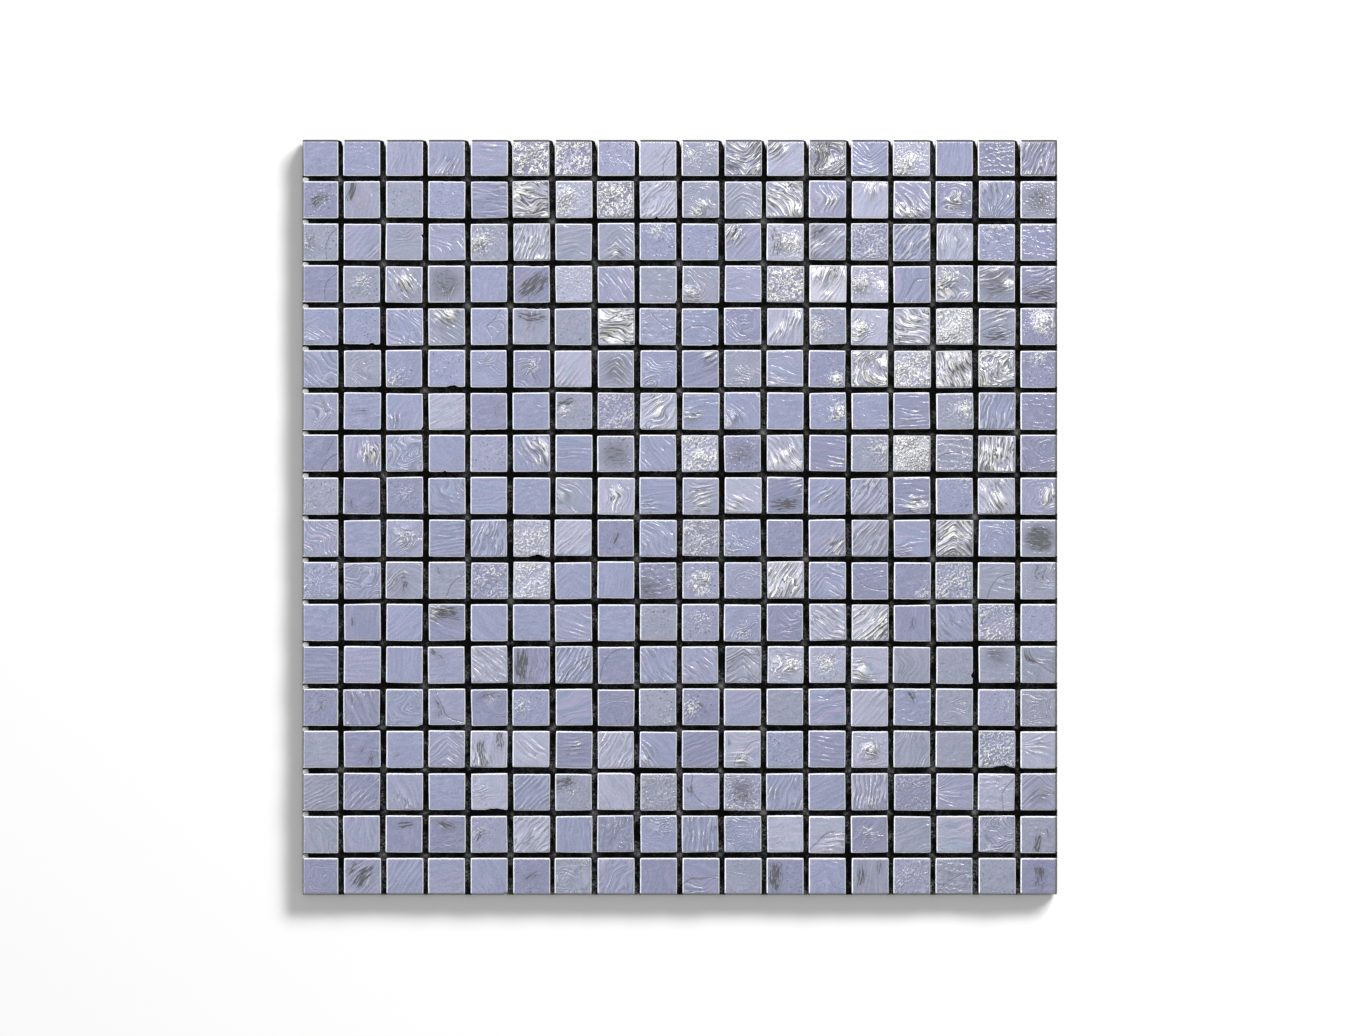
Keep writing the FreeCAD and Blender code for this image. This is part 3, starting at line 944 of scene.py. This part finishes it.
def jointBeds(top, lengthwise):
    # what rose between the glass: a shallow trough along each joint, rough above and flat below,
    # carried from one edge of the sheet to the other
    axis = 0 if lengthwise else 1
    middles = flatCorners.mean(1).reshape(rowCount, columnCount, 2)
    centres = [middles[:, :, 0].mean(0), middles[:, :, 1].mean(1)]
    joints = [(line[1:] + line[:-1]) / 2 for line in centres]
    others, lanes = joints if lengthwise else joints[::-1]
    margin = backingMake["bedMargin"]
    first, last = cadBox[0][axis] / mm + margin, cadBox[1][axis] / mm - margin
    closer = np.array([0, 0.4, 0.9, 1.6, 2.5])
    between = np.arange(4.0, last - first - 3.5, backingMake["bedStep"])
    stations = np.concatenate([closer, between, last - first - closer[::-1]]) / (last - first)
    half, bendAt = backingMake["bedHalf"], backingMake["bedBend"]
    profile = np.array([-half, -bendAt, 0.0, bendAt, half, half, -half])
    lift = np.array([1.1, 0.45, 0.15, 0.45, 1.1] + [backingMake["bedFoot"]] * 2)
    lane, station, spot = np.meshgrid(lanes, stations, np.arange(7), indexing="ij")
    spot = spot.astype(int)
    sideways = profile[spot]
    isTop = spot < 5
    chance = 0.85 + 0.3 * noise(lane * 0.37, lane * 0, 25.0)
    wedge = 0 if lengthwise else backingMake["farWedge"] * chance * np.clip((sideways + 0.1) / 1.2, 0, 1)
    trim = [make["outerTrim"][3], 0.0] if lengthwise else [0.0, make["outerTrim"][2]]
    fromFirst = station * (last - first)
    fromLast = last - first - fromFirst
    alongAxis = first + trim[0] + station * (last - first - sum(trim) - wedge)
    inner = np.minimum(fromFirst, fromLast) > 1.0
    alongAxis += 0.3 * inner * noise(fromFirst, lane + sideways, 23.0)
    rough = 0.5 + noise(alongAxis / 1.1, (lane + sideways) / 0.7, 24.0 + axis)
    climb = np.exp(-fromFirst / (1.6 if lengthwise else 0.9)) + np.exp(-fromLast / 0.9) * lengthwise
    z = top + lift[spot] * backingMake["bedRise"]
    z = z + isTop * (0.3 * rough + backingMake["endRise"] * climb)
    away = np.abs(alongAxis[..., None] - others).min(axis=-1)
    # how near a crossing of joints, where the painted light goes
    nearCrossing = np.exp(-(away ** 2 + sideways ** 2) / 1.2)
    pale = np.zeros_like(nearCrossing)
    if lengthwise:
        # painted light: a pale patch at the left end of each lengthwise joint, where light from the left
        # falls
        pale = np.exp(-((fromFirst - 0.9) / 0.8) ** 4) * np.clip(0.8 - sideways, 0, 1)
    lower = 0.5 - alongAxis / (last - first)
    # more of the lighter blotches in the crosswise joints towards the near edge
    blotchShare = np.full_like(nearCrossing, 0.3) if lengthwise else 0.4 + 0.8 * lower
    axes = [alongAxis, lane + sideways, z] if lengthwise else [lane + sideways, alongAxis, z]
    points = np.stack(axes, axis=-1)
    index = np.arange(z.size).reshape(z.shape)
    here, beyond = index[:, :-1], index[:, 1:]
    quads = [here, beyond, np.roll(beyond, -1, axis=2), np.roll(here, -1, axis=2)]
    faces = np.stack(quads if lengthwise else quads[::-1], axis=-1).reshape(-1, 4)
    ends = np.concatenate([index[:, 0], index[:, -1, ::-1]])
    marks = np.stack([nearCrossing, blotchShare, pale], axis=-1).reshape(-1, 3)
    return points.reshape(-1, 3), faces, marks, ends if lengthwise else ends[:, ::-1]


def backingMaterial():
    # black, with dust in blotches, painted light in spots where joints cross, and painted light at the
    # left ends of the joints
    material, tree = newMaterial("blackBacking")
    place = addNode(tree, "ShaderNodeTexCoord").outputs["Object"]
    blotches = grain(tree, place, 160.0, detail=3.0)
    grit = grain(tree, place, 1400.0, rough=0.7)
    nearCrossing, blotchShare, pale = splitAxes(tree, readField(tree, "bedMarks", "Vector"))
    dust = times(tree, stepUp(tree, blotches, 0.40, 0.62), stepUp(tree, grit, 0.42, 0.68))
    crossingLight = times(tree, nearCrossing, stepUp(tree, blotches, 0.45, 0.72))
    tones = [linear(*backingMake[name]) + [1] for name in ("black", "dust", "crossingLight", "pale")]
    colour = blend(tree, times(tree, dust, blotchShare), tones[0], tones[1])
    colour = blend(tree, crossingLight, colour, tones[2])
    colour = blend(tree, stepUp(tree, pale, 0.15, 0.4), colour, tones[3])
    normal = addNode(tree, "ShaderNodeBump", {"Strength": 0.8, "Distance": 0.25 * mm, "Height": grit})
    shader = addNode(tree, "ShaderNodeBsdfPrincipled", {
        "Base Color": colour, "Roughness": stepUp(tree, grit, 0.3, 0.7, 0.45, 0.8),
        "Specular IOR Level": 0.06,
        "Normal": normal.outputs["Normal"],
    })
    addNode(tree, "ShaderNodeOutputMaterial", {"Surface": shader.outputs[0]})
    return material


def backingPiece():
    # film, net and beds in one mesh, each one's faces counted on from the one before
    low, high = [np.array(corner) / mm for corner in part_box(backingMake["node"])]
    surfaces = [
        filmSurface(low, high),
        netThreads(low, high, True), netThreads(low, high, False),
        jointBeds(high[2], True), jointBeds(high[2], False),
    ]
    points, faces, ends, marks, used = [], [], [], [], 0
    for surface, quads, *extra in surfaces:
        points.append(surface)
        faces.append(quads + used)
        marks.append(extra[0] if extra else np.tile([0.0, 0.3, 0.0], (len(surface), 1)))
        ends += [extra[1] + used] if extra else []
        used += len(surface)
    blocks = [np.concatenate(faces), np.concatenate(ends)]
    piece = meshPiece("black_net_backing", np.concatenate(points), blocks, backingMaterial(),
                      {"bedMarks": np.concatenate(marks)})
    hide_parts(backingMake["node"])
    return piece


backing = backingPiece()
print(f"backing made: {len(backing.data.polygons)} faces")


# The studio
def softLamp(name, part):
    # it looks at the middle of the sheet; its power is pi times its glow and its area
    place, size = studio[part + "Place"], studio[part + "Size"]
    data = bpy.data.lights.new(name, "AREA")
    data.shape = "RECTANGLE"
    data.size, data.size_y = size
    data.energy = studio[part + "Glow"] * math.pi * size[0] * size[1]
    data.color = studio.get(part + "Tone", (1.0, 1.0, 1.0))
    lamp = bpy.data.objects.new(name, data)
    lamp.location = place
    way = np.zeros(3) - np.array(place)
    flat = math.hypot(way[0], way[1])
    lamp.rotation_euler = (math.atan2(flat, -way[2]), 0, math.atan2(-way[0], way[1]))
    lamp.visible_camera = False
    intoScene(lamp)
    return lamp


def makeFloor():
    # a pale plane, which shows paler than the light that it throws back at the sheet
    half = studio["floorReach"] / 2
    ends = [(-half, -half), (half, -half), (half, half), (-half, half)]
    mesh = bpy.data.meshes.new("floor")
    mesh.from_pydata([(px, py, studio["floorLevel"]) for px, py in ends], [], [(0, 1, 2, 3)])
    floor = bpy.data.objects.new("floor", mesh)
    intoScene(floor)
    material, tree = newMaterial("paleFloor")
    tones = [addNode(tree, "ShaderNodeBsdfDiffuse", {"Color": (tone, tone, tone, 1)}).outputs[0]
             for tone in (studio["floorBounce"], studio["floorTone"])]
    shader = addNode(tree, "ShaderNodeMixShader", {0: seenDirectly(tree), 1: tones[0], 2: tones[1]})
    addNode(tree, "ShaderNodeOutputMaterial", {"Surface": shader.outputs[0]})
    mesh.materials.append(material)
    return floor


def lightOnly(name, lamps, pieces):  # the lamps reach these pieces alone
    lit = bpy.data.collections.new(name)
    for piece in pieces:
        lit.objects.link(piece)
    for lamp in lamps:
        lamp.light_linking.receiver_collection = lit


def makeStudio():
    # the sheet and the floor have lamps of their own, in a plain room that looks white
    sheetLamps = [
        softLamp("windowLamp", "window"), softLamp("leftStrip", "left"), softLamp("farStrip", "far"),
    ]
    floor = makeFloor()
    floorLamps = [softLamp("shadowLamp", "shadow"), softLamp("overheadLamp", "overhead")]
    lightOnly("floorOnly", floorLamps, [floor])
    lightOnly("sheetOnly", sheetLamps, glassRows + [backing])
    world = bpy.data.worlds.new("plainRoom")
    bpy.context.scene.world = world
    world.use_nodes = True
    tree = world.node_tree
    tree.nodes.clear()
    glow = scaled(tree, seenDirectly(tree), 1.0 - studio["fill"], studio["fill"])
    ground = addNode(tree, "ShaderNodeBackground", {"Color": (1, 1, 1, 1), "Strength": glow})
    addNode(tree, "ShaderNodeOutputWorld", {"Surface": ground.outputs[0]})


makeStudio()
bpy.context.scene.view_settings.view_transform = "Standard"
print("studio lit")
